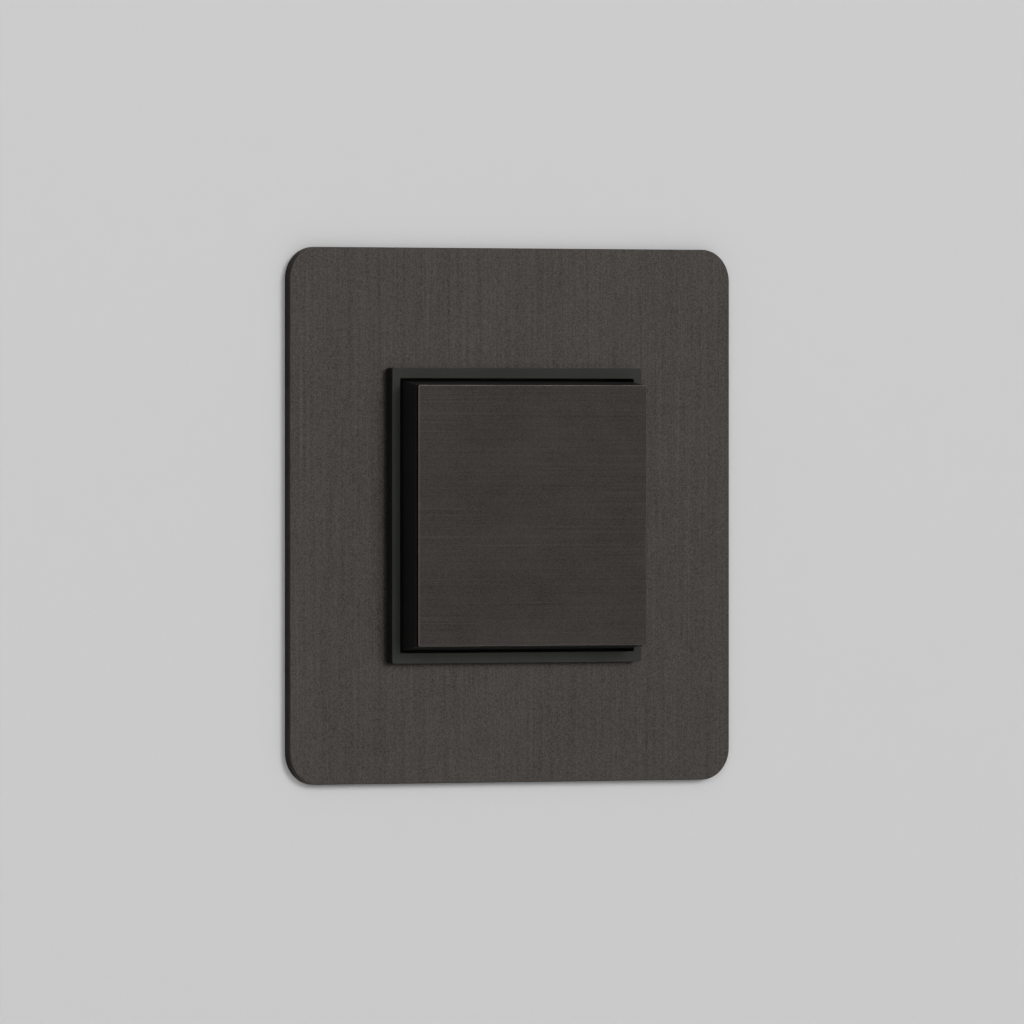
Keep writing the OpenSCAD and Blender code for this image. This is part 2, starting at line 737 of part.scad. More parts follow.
// The rear housing that holds the contacts and terminals
module rear_housing() {
    color(GREY) stand() difference() {
        housing_body();
        both_ends() terminal_way(terminal_reach(case_h));
        rotate([0, 0, -90]) terminal_way(terminal_reach(case_w));
        four_corners() translate([screw_x, screw_y, 0]) {
            bar_z(housing_screw_d + 2 * seat_fit, [housing_back - cut, deck_back + cut]);
            bar_z(housing_head_d + 2 * seat_fit, [housing_back - cut, screw_seat]);
        }
    }
}

// Screws that close the rear housing on the cradle
module housing_screws() {
    color(STEEL) stand() four_corners() translate([screw_x, screw_y, 0]) {
        bar_z(housing_screw_d, [screw_seat - sink, screw_top]);
        translate([0, 0, screw_seat]) mirror([0, 0, 1]) slotted_head(housing_head_d, housing_head_h, 0);
    }
}

// A pillar terminal at the +Y side: a block with a wire hole from the back and a screw from the side
module pillar(reach) {
    bore_y = terminal_bore(reach);
    difference() {
        block([-terminal_half, terminal_half], [terminal_in(reach), reach], [terminal_back, strip_front]);
        translate([0, bore_y, 0]) bar_z(wire_bore_d, [terminal_back - cut, terminal_back + wire_bore_len]);
        translate([0, 0, terminal_screw_z]) bar_y(terminal_screw_d + 2 * driven_fit, [bore_y, reach + cut]);
    }
}

// A terminal whose strip carries a fixed contact
module contact_terminal() {
    reach = terminal_reach(case_h);
    pillar(reach);
    block([-strip_w / 2, strip_w / 2], [contact_arm - button_d, terminal_in(reach) + seat_fit],
        [strip_front - strip_t, strip_front]);
}

module upper_terminal() {
    color(BRASS) stand() contact_terminal();
}

module lower_terminal() {
    color(BRASS) stand() mirror([0, 1, 0]) contact_terminal();
}

// The common terminal at the right side, whose strip carries the edge that the contact rocks on
module common_terminal() {
    reach = terminal_reach(case_w);
    half = strip_w / 2;
    color(BRASS) stand() {
        rotate([0, 0, -90]) pillar(reach);
        block([-half, terminal_in(reach) + seat_fit], [-half, half],
            [common_front - strip_t, common_front]);
        block([-half, half], [-edge_web / 2, edge_web / 2], [common_front - strip_t, contact_z]);
        translate([0, 0, contact_z]) bar_x(edge_d, [-half, half]);
    }
}

// Contact buttons on the strips of the upper and lower terminals
module fixed_contacts() {
    color(SILVER) stand() both_ends() translate([0, contact_arm, 0])
        bar_z(button_d, [strip_front, button_front]);
}

// One terminal screw at the +Y side of the housing
module placed_terminal_screw(reach) {
    tip_y = terminal_bore(reach) + wire_bore_d / 2 + seat_fit;
    translate([0, tip_y, terminal_screw_z]) rotate([-90, 0, 0]) terminal_screw();
}

// The screws of the three wire terminals
module terminal_screws() {
    color(STEEL) stand() {
        both_ends() placed_terminal_screw(terminal_reach(case_h));
        rotate([0, 0, -90]) placed_terminal_screw(terminal_reach(case_w));
    }
}

// A spring between the cradle's deck and the paddle, above or below the pivot
module return_spring(side) {
    color(STEEL) stand() translate([0, side * return_pitch / 2, 0])
        coil(return_coil_d, return_wire_d, return_turns, [deck_top, paddle_under]);
}

module upper_return_spring() {
    return_spring(1);
}

module lower_return_spring() {
    return_spring(-1);
}

// The paddle's shell: straight at the sides, drawn in at the top and the bottom
module paddle_shell() {
    outline = [
        [-base_half_h, paddle_base], [base_half_h, paddle_base], [base_half_h, collar_front],
        [face_half_h, paddle_top], [-face_half_h, paddle_top], [-base_half_h, collar_front]
    ];
    difference() {
        along_x(rocker_w) polygon(outline);
        prism(rocker_w - 2 * paddle_wall, 2 * (face_half_h - paddle_wall),
            [paddle_base - cut, paddle_under]);
    }
}

// A boss of the paddle that turns on a pivot pin, with a rib to the middle post
module paddle_boss() {
    block([boss_in, boss_out], [-ear_r, ear_r], [pivot_z, paddle_top]);
    translate([0, 0, pivot_z]) bar_x(2 * ear_r, [boss_in, boss_out]);
    block([0, boss_in + seat_fit], [-paddle_wall / 2, paddle_wall / 2],
        [paddle_under - paddle_wall, paddle_top]);
}

// The moulded paddle under the rocker's metal face
module rocker_paddle() {
    color(BLACK) stand() difference() {
        union() {
            paddle_shell();
            both_sides() paddle_boss();
            bar_z(post_d, [post_end, paddle_top]);
            both_ends() translate([0, return_pitch / 2, 0])
                bar_z(peg_d, [paddle_under - paddle_top_t, paddle_top]);
        }
        both_sides() translate([0, 0, pivot_z]) bar_x(pin_bore_d, [boss_in - cut, boss_out + cut]);
        bar_z(plunger_bore_d, [post_end - cut, plunger_bore_top]);
    }
}

// The brushed metal face of the rocker
module rocker_face() {
    color(FACE_BRONZE) stand()
        rounded_slab(rocker_w, 2 * face_half_h, face_corner_r, [paddle_top, face_front]);
}

// The spring that pushes the plunger on the moving contact
module plunger_spring() {
    color(STEEL) stand()
        coil(plunger_coil_d, plunger_wire_d, plunger_turns, [plunger_top, plunger_bore_top]);
}

// The plunger: a round body in the paddle's post, with a rounded nose
module plunger() {
    tip_centre = plunger_tip + nose_tip_r;
    color(IVORY) stand() {
        bar_z(plunger_d, [nose_top, plunger_top]);
        intersection() {
            bar_z(nose_d, [plunger_tip, nose_top + sink]);
            union() {
                translate([0, 0, tip_centre]) sphere(nose_tip_r);
                bar_z(nose_d + cut, [tip_centre, nose_top + sink]);
            }
        }
    }
}

// The moving contact: a rocking bar with a dimple for the plunger and a groove for the edge it rocks on
module moving_contact() {
    outline = [
        [-contact_end, contact_under], [contact_end, contact_under], [contact_end, contact_top],
        [hump_y + hump_run, contact_top], [hump_y, hump_z], [0, dimple_z], [-hump_y, hump_z],
        [-hump_y - hump_run, contact_top], [-contact_end, contact_top]
    ];
    color(COPPER) stand() difference() {
        along_x(contact_w) polygon(outline);
        translate([0, 0, contact_z]) bar_x(edge_d + 2 * running_fit, [-contact_w, contact_w]);
    }
}

// Domed contact tips under the two ends of the moving contact
module moving_tips() {
    color(SILVER) stand() both_ends() translate([0, contact_arm, 0]) intersection() {
        bar_z(tip_d, [contact_under - tip_h - cut, contact_under]);
        translate([0, 0, contact_z + dome_rise]) sphere(tip_dome_r);
    }
}

echo(least_gap_return_spring =
    coil_gap(return_coil_d, return_wire_d, return_turns, [deck_top, paddle_under]));
echo(least_gap_plunger_spring =
    coil_gap(plunger_coil_d, plunger_wire_d, plunger_turns, [plunger_top, plunger_bore_top]));

cover_plate();
plate_clip_frame();
collar();
yoke();
fixing_screws();
screw_retainers();
earth_terminal();
earth_screw();
earth_leaf();
cradle();
retaining_clips();
pivot_pins();
rear_housing();
housing_screws();
common_terminal();
upper_terminal();
lower_terminal();
fixed_contacts();
terminal_screws();
upper_return_spring();
lower_return_spring();
rocker_paddle();
rocker_face();
plunger_spring();
plunger();
moving_contact();
moving_tips();
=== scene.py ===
"""The looks of a rocker wall switch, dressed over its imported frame.

Lengths are in metres, +Z is up the wall, and -Y is out of the wall.
"""

import json
import math

import bmesh
import bpy
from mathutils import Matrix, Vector


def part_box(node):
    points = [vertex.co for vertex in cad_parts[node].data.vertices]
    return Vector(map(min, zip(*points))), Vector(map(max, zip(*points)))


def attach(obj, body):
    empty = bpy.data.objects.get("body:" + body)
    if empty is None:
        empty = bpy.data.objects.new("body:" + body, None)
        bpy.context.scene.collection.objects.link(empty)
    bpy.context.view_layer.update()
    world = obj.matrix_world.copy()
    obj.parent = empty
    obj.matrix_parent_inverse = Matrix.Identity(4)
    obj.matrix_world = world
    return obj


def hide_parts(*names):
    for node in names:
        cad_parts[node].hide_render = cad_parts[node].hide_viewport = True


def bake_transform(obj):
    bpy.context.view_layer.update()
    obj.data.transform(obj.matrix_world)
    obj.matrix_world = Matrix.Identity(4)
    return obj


MM = 0.001

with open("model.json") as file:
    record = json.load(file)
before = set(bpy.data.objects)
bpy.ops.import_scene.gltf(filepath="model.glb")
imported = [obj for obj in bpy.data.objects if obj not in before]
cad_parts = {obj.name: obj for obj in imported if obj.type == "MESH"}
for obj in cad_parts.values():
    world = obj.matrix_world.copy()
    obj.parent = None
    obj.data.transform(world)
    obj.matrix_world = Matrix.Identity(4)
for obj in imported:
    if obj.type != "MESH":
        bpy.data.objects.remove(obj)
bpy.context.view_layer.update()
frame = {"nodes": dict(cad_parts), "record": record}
NODES = frame["nodes"]
RECORD = frame["record"]
BODIES = RECORD["behaviour"]["bodies"]
NODE_SLOT = {part["node"]: part["material_slot"] for part in RECORD["subparts"]}
NODE_BODY = {node: body for body, nodes in BODIES.items() for node in nodes}

# The photograph's view: from the left, level with the switch and far away
IMAGE_PX = 1024
SENSOR_MM = 36.0
FOCAL_PX = 15583
VIEW_AZIMUTH = -32.24
VIEW_ELEVATION = 0.26
VIEW_DISTANCE = 2584 * MM
AIM_RIGHT = 1.02 * MM
AIM_UP = 0.54 * MM

# Wall and floor
WALL_HALF = 1.6
WALL_Y = -0.03 * MM
WALL_LAP = 0.3 * MM
FLOOR_HALF = 15.0
FLOOR_Z = -0.5
WALL_COLOUR = (0.62, 0.62, 0.62)
SHEET_ROUGHNESS = 0.9

# Dark strips behind the yoke's slots: painted shade in place of the dark inside a wall box
DARK_GAP = 0.2 * MM
DARK_HALF = 24 * MM
DARK_INNER, DARK_OUTER = 21.5 * MM, 31 * MM
SLOT_SHADE_COLOUR = (0.01, 0.01, 0.01)

# The world's light before and behind the wall, and the slants along Y between which it turns
WORLD_COLOUR = (1.0, 1.0, 1.0)
FRONT_WORLD, REAR_WORLD = 0.3, 0.6
TURN_START, TURN_END = -0.15, -0.05

# Place, width and watts of each lamp
LAMPS = {
    "key": ((1.5, -3.7, 1.25), 1.75, 86),
    "fill": ((-1.3, -1.9, 0.75), 1.0, 10),
    "rear": ((-0.7, 2.0, 0.9), 2.2, 14),
}

# Sizes of the CAD nodes that the added forms follow
PLATE_CORNER = 5.3 * MM
TERMINAL_HALF = 4.0 * MM
TERMINAL_DEPTH = 6.8 * MM
THREAD_D = 3.5 * MM
THREAD_CORE_D = 2.8 * MM
HEAD_D = 6.4 * MM

# Mesh attribute that is 1 on rounded edges and 0 elsewhere
WEAR = "wear"


def make_camera():
    azimuth = math.radians(VIEW_AZIMUTH)
    elevation = math.radians(VIEW_ELEVATION)
    level = math.cos(elevation)
    back = Vector((math.sin(azimuth) * level, -math.cos(azimuth) * level, math.sin(elevation)))
    turn = (-back).to_track_quat("-Z", "Y")
    aim = turn @ Vector((AIM_RIGHT, AIM_UP, 0))
    data = bpy.data.cameras.new("camera")
    data.sensor_width = SENSOR_MM
    data.lens = FOCAL_PX * SENSOR_MM / IMAGE_PX
    data.clip_end = 2 * VIEW_DISTANCE
    camera = bpy.data.objects.new("camera", data)
    camera.location = aim + back * VIEW_DISTANCE
    camera.rotation_mode = "QUATERNION"
    camera.rotation_quaternion = turn
    bpy.context.scene.collection.objects.link(camera)
    bpy.context.scene.camera = camera


NOISE_ROUGHNESS = 0.6
# Range in which most of the noise lies
NOISE_LOW, NOISE_HIGH = 0.3, 0.7


class Finish:
    """A procedural material, whose textures lie in the piece's own coordinates."""

    def __init__(self, name, **sockets):
        self.material = bpy.data.materials.new(name)
        self.material.use_nodes = True
        self.tree = self.material.node_tree
        self.shader = self.tree.nodes["Principled BSDF"]
        self.coordinates = self.node("ShaderNodeTexCoord").outputs["Object"]
        self.wear = self.node("ShaderNodeAttribute", attribute_name=WEAR).outputs["Fac"]
        for socket, value in sockets.items():
            self.shader.inputs[socket.replace("_", " ")].default_value = value

    def node(self, kind, **settings):
        node = self.tree.nodes.new(kind)
        for name, value in settings.items():
            setattr(node, name, value)
        return node

    def feed(self, node, **values):
        """Sets a node's sockets, or links them where the value is another node's output."""
        for name, value in values.items():
            socket = node.inputs[name.replace("_", " ")]
            if isinstance(value, bpy.types.NodeSocket):
                self.tree.links.new(value, socket)
            else:
                socket.default_value = value
        return node

    def grain(self, size, detail=2.0, offset=0.0):
        """Noise about 0.5, with grains of this size along X, Y and Z."""
        mapping = self.feed(
            self.node("ShaderNodeMapping"),
            Vector=self.coordinates,
            Scale=[1 / s for s in size],
            Location=(offset, offset, offset),
        )
        noise = self.feed(
            self.node("ShaderNodeTexNoise"),
            Vector=mapping.outputs["Vector"],
            Scale=1.0,
            Detail=detail,
            Roughness=NOISE_ROUGHNESS,
        )
        return noise.outputs["Fac"]

    def spread(self, value, low, high, start=NOISE_LOW, stop=NOISE_HIGH):
        """The value drawn out from start..stop to low..high."""
        node = self.node("ShaderNodeMapRange")
        self.feed(node, Value=value, From_Min=start, From_Max=stop, To_Min=low, To_Max=high)
        return node.outputs["Result"]

    def sum(self, *weighted):
        """The sum of values, each given with its weight."""
        total = None
        for value, weight in weighted:
            node = self.node("ShaderNodeMath", operation="MULTIPLY_ADD")
            node.inputs[1].default_value = weight
            self.tree.links.new(value, node.inputs[0])
            if total is None:
                node.inputs[2].default_value = 0.0
            else:
                self.tree.links.new(total, node.inputs[2])
            total = node.outputs["Value"]
        return total

    def product(self, first, second):
        node = self.node("ShaderNodeMath", operation="MULTIPLY")
        self.tree.links.new(first, node.inputs[0])
        self.tree.links.new(second, node.inputs[1])
        return node.outputs["Value"]

    def tint(self, value, dark, light):
        """The base colour, from dark to light as the value goes from 0 to 1."""
        ramp = self.node("ShaderNodeValToRGB")
        ramp.color_ramp.elements[0].color = (*dark, 1)
        ramp.color_ramp.elements[1].color = (*light, 1)
        self.feed(ramp, Fac=value)
        self.feed(self.shader, Base_Color=ramp.outputs["Color"])

    def roughen(self, value, low, high):
        self.feed(self.shader, Roughness=self.spread(value, low, high))

    def bump(self, height, depth):
        """Relief of this depth on the surface."""
        node = self.node("ShaderNodeBump")
        self.feed(node, Height=height, Distance=depth, Strength=1.0)
        self.feed(self.shader, Normal=node.outputs["Normal"])

    def brush_across(self, direction):
        """Stretches the highlights of brushed metal across its brush lines."""
        tangent = self.node("ShaderNodeCombineXYZ")
        self.feed(tangent, X=direction[0], Y=direction[1], Z=direction[2])
        self.feed(self.shader, Tangent=tangent.outputs["Vector"])


def shade(colour, share):
    return tuple(c * share for c in colour)


# Brushed bronze: shares of the colour in its darkest and lightest grains, and its surface
BRONZE_DARK, BRONZE_LIGHT = 0.37, 1.63
BRONZE_ROUGHNESS = (0.54, 0.62)
BRONZE_RELIEF = 0.003 * MM
BRONZE_ANISOTROPY = 0.25
# Places of the layers in the noise, off its even planes, and the part of it that is a scratch
LAYER_START, LAYER_STEP = 0.4, 3.1
SCRATCH_OFFSET = 20.0
SCRATCH_RANGE = (0.70, 0.78)


def brushed_bronze(name, colour, along, across, layers, scratches):
    """Dark bronze, brushed along one axis, with layers of grain of a length, width and share."""
    finish = Finish(name, Metallic=1.0, Anisotropic=BRONZE_ANISOTROPY)

    def lines(length, width, **settings):
        return finish.grain([length if a else width for a in along], **settings)

    grains = []
    for i, (length, width, share) in enumerate(layers):
        grains.append((lines(length, width, offset=LAYER_START + LAYER_STEP * i), share))
    worn = finish.sum(*grains)
    length, width, share = scratches
    scratch = lines(length, width, detail=0.0, offset=SCRATCH_OFFSET)
    lit = finish.sum((worn, 1.0), (finish.spread(scratch, 0.0, 1.0, *SCRATCH_RANGE), share))
    dark, light = shade(colour, BRONZE_DARK), shade(colour, BRONZE_LIGHT)
    finish.tint(finish.spread(lit, 0.0, 1.0), dark, light)
    finish.roughen(worn, *BRONZE_ROUGHNESS)
    finish.bump(worn, BRONZE_RELIEF)
    finish.brush_across(across)
    return finish.material


# Moulded plastic: pits, flow marks, the tone that they span, and the paler, glossier rubbed edges
PLASTIC_DARK, PLASTIC_LIGHT = 0.82, 1.72
PIT_SHARE, FLOW_SHARE = 0.55, 0.45
PIT_DEPTH = 0.012 * MM
FLOW_SIZE = 9 * MM
FLOW_DETAIL, FLOW_OFFSET = 4.0, 4.0
TONE_SPAN = 0.4
RUB_LEAST = 0.4
RUB_GLOSS = 0.2


def moulded_plastic(name, colour, roughness, texture, specular, worn):
    """Moulded plastic with a fine eroded texture, slight flow marks and rubbed edges."""
    finish = Finish(name, Specular_IOR_Level=specular)
    pits = finish.grain([texture] * 3)
    flow = finish.grain([FLOW_SIZE] * 3, detail=FLOW_DETAIL, offset=FLOW_OFFSET)
    mixed = finish.sum((pits, PIT_SHARE), (flow, FLOW_SHARE))
    rubbed = finish.product(finish.wear, finish.spread(flow, RUB_LEAST, 1.0))
    tone = finish.sum((finish.spread(mixed, 0.0, TONE_SPAN), 1.0), (rubbed, worn))
    finish.tint(tone, shade(colour, PLASTIC_DARK), shade(colour, PLASTIC_LIGHT))
    finish.roughen(finish.sum((mixed, 1.0), (rubbed, -RUB_GLOSS)), *roughness)
    finish.bump(pits, PIT_DEPTH)
    return finish.material


# Worked metal: tool lines, patches of tarnish, and the part of their noise that the tint spans
TOOL_SHARE, PATCH_SHARE = 0.45, 0.55
TOOL_DETAIL = 3.0
PATCH_DETAIL, PATCH_OFFSET = 5.0, 2.0
TARNISH_RANGE = (0.35, 0.62)
TARNISH_ROUGHNESS = 0.1
METAL_RELIEF = 0.004 * MM


def worked_metal(name, colour, tarnish, lines, roughness, patches, worn):
    """Bare or plated metal, with tool lines, patches of tarnish and edges rubbed clean."""
    finish = Finish(name, Metallic=1.0)
    tool = finish.grain(lines, detail=TOOL_DETAIL)
    patch = finish.grain([patches] * 3, detail=PATCH_DETAIL, offset=PATCH_OFFSET)
    mixed = finish.sum((tool, TOOL_SHARE), (patch, PATCH_SHARE), (finish.wear, worn))
    finish.tint(finish.spread(mixed, 0.0, 1.0, *TARNISH_RANGE), tarnish, colour)
    finish.roughen(mixed, roughness + TARNISH_ROUGHNESS, roughness)
    finish.bump(tool, METAL_RELIEF)
    return finish.material


# Length, width and share of each layer of the bronze's brush lines, sand and patina, and scratches
PLATE_GRAIN = [
    (34 * MM, 0.45 * MM, 0.16),
    (9 * MM, 0.25 * MM, 0.1),
    (0.2 * MM, 0.2 * MM, 0.68),
    (9 * MM, 9 * MM, 0.06),
]
PLATE_SCRATCHES = (35 * MM, 0.14 * MM, 0.06)
FACE_GRAIN = [
    (36 * MM, 0.14 * MM, 0.22),
    (0.19 * MM, 0.19 * MM, 0.63),
    (11 * MM, 8 * MM, 0.15),
]
FACE_SCRATCHES = (45 * MM, 0.12 * MM, 0.1)

# Colour, axis along and axis across the brush lines, layers and scratches
UP, RIGHT = (0, 0, 1), (1, 0, 0)
BRONZES = {
    "plate_bronze": ((0.0602, 0.0536, 0.0488), UP, RIGHT, PLATE_GRAIN, PLATE_SCRATCHES),
    "face_bronze": ((0.041, 0.0355, 0.032), RIGHT, UP, FACE_GRAIN, FACE_SCRATCHES),
}

# Colour, least and most roughness, size of the texture, specular level and wear
PLASTICS = {
    "black_plastic": ((0.0072, 0.0072, 0.0072), (0.42, 0.55), 0.18 * MM, 0.3, 0.6),
    # The collar's front and rounded edges: a lighter, olive copy of the black plastic, painted
    # light
    "collar_satin": ((0.034, 0.0354, 0.0308), (0.7, 0.8), 0.15 * MM, 0.1, 0.1),
    "grey_plastic": ((0.085, 0.09, 0.095), (0.45, 0.6), 0.22 * MM, 0.5, 0.6),
    "ivory_plastic": ((0.69, 0.65, 0.55), (0.35, 0.5), 0.3 * MM, 0.5, 0.6),
}

# Clean colour, tarnished colour, grain of the tool lines, roughness, size of the patches and wear
ROLLED = (0.2 * MM, 0.2 * MM, 6 * MM)
TURNED = (0.15 * MM, 4 * MM, 0.15 * MM)
SHEET = (7 * MM, 0.15 * MM, 0.15 * MM)
PATCHES, FINE_PATCHES = 4 * MM, 2 * MM
METALS = {
    # Lighter bronze on the plate's rounded edges: a painted highlight
    "plate_edge": ((0.072, 0.064, 0.058), (0.05, 0.044, 0.04), SHEET, 0.45, PATCHES, 0.0),
    # Darker bronze on the plate's sides and back: painted shade
    "plate_side": ((0.0405, 0.0333, 0.031), (0.0286, 0.0226, 0.0214), SHEET, 0.5, PATCHES, 0.2),
    # Darker bronze on the rocker face's sides and back: painted shade
    "face_side": ((0.018, 0.0135, 0.012), (0.012, 0.0085, 0.0075), SHEET, 0.5, PATCHES, 0.2),
    # Much lighter bronze on the rocker face's rounded edges: a painted highlight
    "face_edge": ((0.125, 0.107, 0.097), (0.085, 0.073, 0.066), SHEET, 0.4, PATCHES, 0.0),
    "zinc_steel": ((0.52, 0.53, 0.54), (0.44, 0.44, 0.43), SHEET, 0.34, FINE_PATCHES, 0.2),
    "steel": ((0.42, 0.42, 0.43), (0.27, 0.27, 0.28), TURNED, 0.28, PATCHES, 0.2),
    "spring_steel": ((0.32, 0.33, 0.35), (0.19, 0.19, 0.20), ROLLED, 0.25, PATCHES, 0.2),
    "brass": ((0.72, 0.49, 0.17), (0.50, 0.32, 0.10), ROLLED, 0.28, PATCHES, 0.2),
    "copper": ((0.70, 0.32, 0.19), (0.45, 0.19, 0.11), ROLLED, 0.27, PATCHES, 0.2),
    "silver": ((0.75, 0.74, 0.71), (0.55, 0.53, 0.49), ROLLED, 0.35, PATCHES, 0.2),
}


def make_finishes():
    kinds = ((brushed_bronze, BRONZES), (moulded_plastic, PLASTICS), (worked_metal, METALS))
    return {name: make(name, *values) for make, table in kinds for name, values in table.items()}


FINISHES = make_finishes()

# Width of the rounded edges of each node
EDGE = {
    "cover_plate": 0.15 * MM,
    "collar": 0.12 * MM,
    "rocker_face": 0.13 * MM,
    "rocker_paddle": 0.15 * MM,
    "plate_clip_frame": 0.12 * MM,
    "yoke": 0.2 * MM,
    "cradle": 0.1 * MM,
    "rear_housing": 0.2 * MM,
    "earth_terminal": 0.2 * MM,
    "common_terminal": 0.15 * MM,
    "upper_terminal": 0.15 * MM,
    "lower_terminal": 0.15 * MM,
    "moving_contact": 0.12 * MM,
    "fixed_contacts": 0.2 * MM,
    "moving_tips": 0.1 * MM,
    "plunger": 0.2 * MM,
    "pivot_pins": 0.15 * MM,
    "fixing_screws": 0.2 * MM,
    "screw_retainers": 0.1 * MM,
    "earth_screw": 0.2 * MM,
    "terminal_screws": 0.2 * MM,
    "housing_screws": 0.2 * MM,
    "earth_leaf": 0.06 * MM,
    "retaining_clips": 0.08 * MM,
}
WELD = 0.001 * MM
FLAT_ANGLE = math.radians(1)
EDGE_ANGLE = math.radians(35)
EDGE_STEPS = 3
ROUND_PROFILE = 0.5

# Finishes of a node's front, its rounded edges and its other faces, where they aren't all the same.
# The plate's and rocker face's rounded edges take painted highlights and their other faces painted
# shade. The collar's front and rounded edges take painted light, and its other faces plain black.
FACE_FINISHES = {
    "cover_plate": ("plate_bronze", "plate_edge", "plate_side"),
    "rocker_face": ("face_bronze", "face_edge", "face_side"),
    "collar": ("collar_satin", "collar_satin", "black_plastic"),
}
FRONT, ROUNDED, OTHER = range(3)
FRONT_FACING = -0.99


def corner_normal(loop, rounded):
    """The normal of a face's corner, where flat faces stay flat and rounded edges turn smoothly."""
    around = loop.vert.link_faces
    faces = [f for f in around if f not in rounded] or list(around)
    nearest = max(faces, key=lambda f: f.normal.dot(loop.face.normal)).normal
    total = Vector()
    for face in faces:
        if face.normal.angle(nearest, math.pi) < EDGE_ANGLE:
            total += face.normal * face.calc_area()
    return total.normalized() if total.length else loop.face.normal


def make_piece(name, form, slot, rounded=(), finishes=None):
    """A new object from a bmesh, with its finishes and smooth normals."""
    rounded = set(rounded)
    form.normal_update()
    normals = [corner_normal(loop, rounded) for face in form.faces for loop in face.loops]
    mesh = bpy.data.meshes.new(name)
    form.to_mesh(mesh)
    form.free()
    mesh.shade_smooth()
    mesh.normals_split_custom_set(normals)
    for finish in finishes or [slot]:
        mesh.materials.append(FINISHES[finish])
    piece = bpy.data.objects.new(name, mesh)
    bpy.context.scene.collection.objects.link(piece)
    return piece


def node_form(node):
    """A CAD node's mesh, with its split corners joined and its flat faces whole."""
    form = bmesh.new()
    form.from_mesh(NODES[node].data)
    bmesh.ops.remove_doubles(form, verts=form.verts, dist=WELD)
    bmesh.ops.dissolve_limit(form, angle_limit=FLAT_ANGLE, verts=form.verts, edges=form.edges)
    return form


def round_edges(form, width):
    """Rounds a form's sharp edges, marks them as worn and gives back their faces."""
    wear = form.faces.layers.float.new(WEAR)
    made = bmesh.ops.bevel(
        form,
        geom=[e for e in form.edges if e.is_manifold and e.calc_face_angle(0) > EDGE_ANGLE],
        offset=width,
        segments=EDGE_STEPS,
        profile=ROUND_PROFILE,
        affect="EDGES",
        clamp_overlap=True,
    )
    for face in made["faces"]:
        face[wear] = 1.0
    bmesh.ops.dissolve_degenerate(form, dist=WELD, edges=form.edges)
    return {face for face in form.faces if face[wear]}


def dressed(node, edge):
    """A copy of a node with rounded edges and its finish, which stands for the node."""
    form = node_form(node)
    if node == "fixing_screws":
        cut_shanks(form)
    rounded = round_edges(form, edge)
    form.normal_update()
    # Each face takes the finish of its place: painted highlights on rounded edges, painted shade on
    # the sides and back, and painted light on the collar's front
    if node in FACE_FINISHES:
        for face in form.faces:
            facing = FRONT if face.normal.y < FRONT_FACING else OTHER
            face.material_index = ROUNDED if face in rounded else facing
    piece = make_piece(node + "_dressed", form, NODE_SLOT[node], rounded, FACE_FINISHES.get(node))
    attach(piece, NODE_BODY[node])
    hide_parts(node)


# Thread of the fixing screws, with the slope and cut of its crests and the taper of its point
THREAD_PITCH = 0.6 * MM
THREAD_SIDES = 24
THREAD_ROWS = 8
THREAD_POINT = 1.0 * MM
CREST_SLOPE, CREST_CUT = 1.3, 0.15
POINT_TAPER = 0.35


def screw_x():
    """How far the axes of the fixing screws stand from the middle."""
    low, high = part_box("fixing_screws")
    return (high.x - low.x - HEAD_D) / 2


def cut_shanks(form):
    """Takes the plain shanks off the fixing screws, behind the washers, and closes the necks."""
    neck_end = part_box("screw_retainers")[1].y
    axis_x = screw_x()
    between = (THREAD_CORE_D + THREAD_D) / 4
    shank = []
    for vert in form.verts:
        radius = math.hypot(abs(vert.co.x) - axis_x, vert.co.z)
        if vert.co.y > neck_end - WELD and radius > between:
            shank.append(vert)
    bmesh.ops.delete(form, geom=shank, context="VERTS")
    bmesh.ops.holes_fill(form, edges=[e for e in form.edges if e.is_boundary])


def thread_radius(along, turn, start, end):
    phase = (along / THREAD_PITCH - turn) % 1
    crest = min(1, max(0, CREST_SLOPE * (1 - abs(2 * phase - 1)) - CREST_CUT))
    run_out = min(1, (along - start) / THREAD_PITCH)
    point = min(0, (end - along) / THREAD_POINT - 1)
    diameter = THREAD_CORE_D + (THREAD_D - THREAD_CORE_D) * crest * run_out
    return diameter / 2 * (1 + POINT_TAPER * point)


def loft(form, rings):
    """Faces along rings of points, closed at both ends."""
    rings = [[form.verts.new(point) for point in ring] for ring in rings]
    for low, high in zip(rings, rings[1:]):
        for i in range(len(low)):
            j = (i + 1) % len(low)
            form.faces.new((low[i], low[j], high[j], high[i]))
    form.faces.new(rings[0])
    form.faces.new(rings[-1])
    bmesh.ops.recalc_face_normals(form, faces=form.faces)


def make_threads():
    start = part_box("screw_retainers")[1].y
    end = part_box("fixing_screws")[1].y
    axis_x = screw_x()
    rows = round((end - start) / THREAD_PITCH * THREAD_ROWS)
    for side, name in ((-1, "left_thread"), (1, "right_thread")):
        rings = []
        for row in range(rows + 1):
            along = start + (end - start) * row / rows
            ring = []
            for i in range(THREAD_SIDES):
                turn = i / THREAD_SIDES
                radius = thread_radius(along, turn, start, end)
                angle = math.tau * turn
                x = side * axis_x + radius * math.cos(angle)
                ring.append((x, along, radius * math.sin(angle)))
            rings.append(ring)
        form = bmesh.new()
        loft(form, rings)
        piece = make_piece(name, form, NODE_SLOT["fixing_screws"])
        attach(piece, NODE_BODY["fixing_screws"])


# Springs: wire, turns, and the bodies at the ends that face the wall and the room
SPRINGS = {
    "upper_return_spring": (0.6 * MM, 6, "base", "rocker"),
    "lower_return_spring": (0.6 * MM, 6, "base", "rocker"),
    "plunger_spring": (0.45 * MM, 5, "plunger", "rocker"),
}
COIL_RINGS = 24
WIRE_SIDES = 12


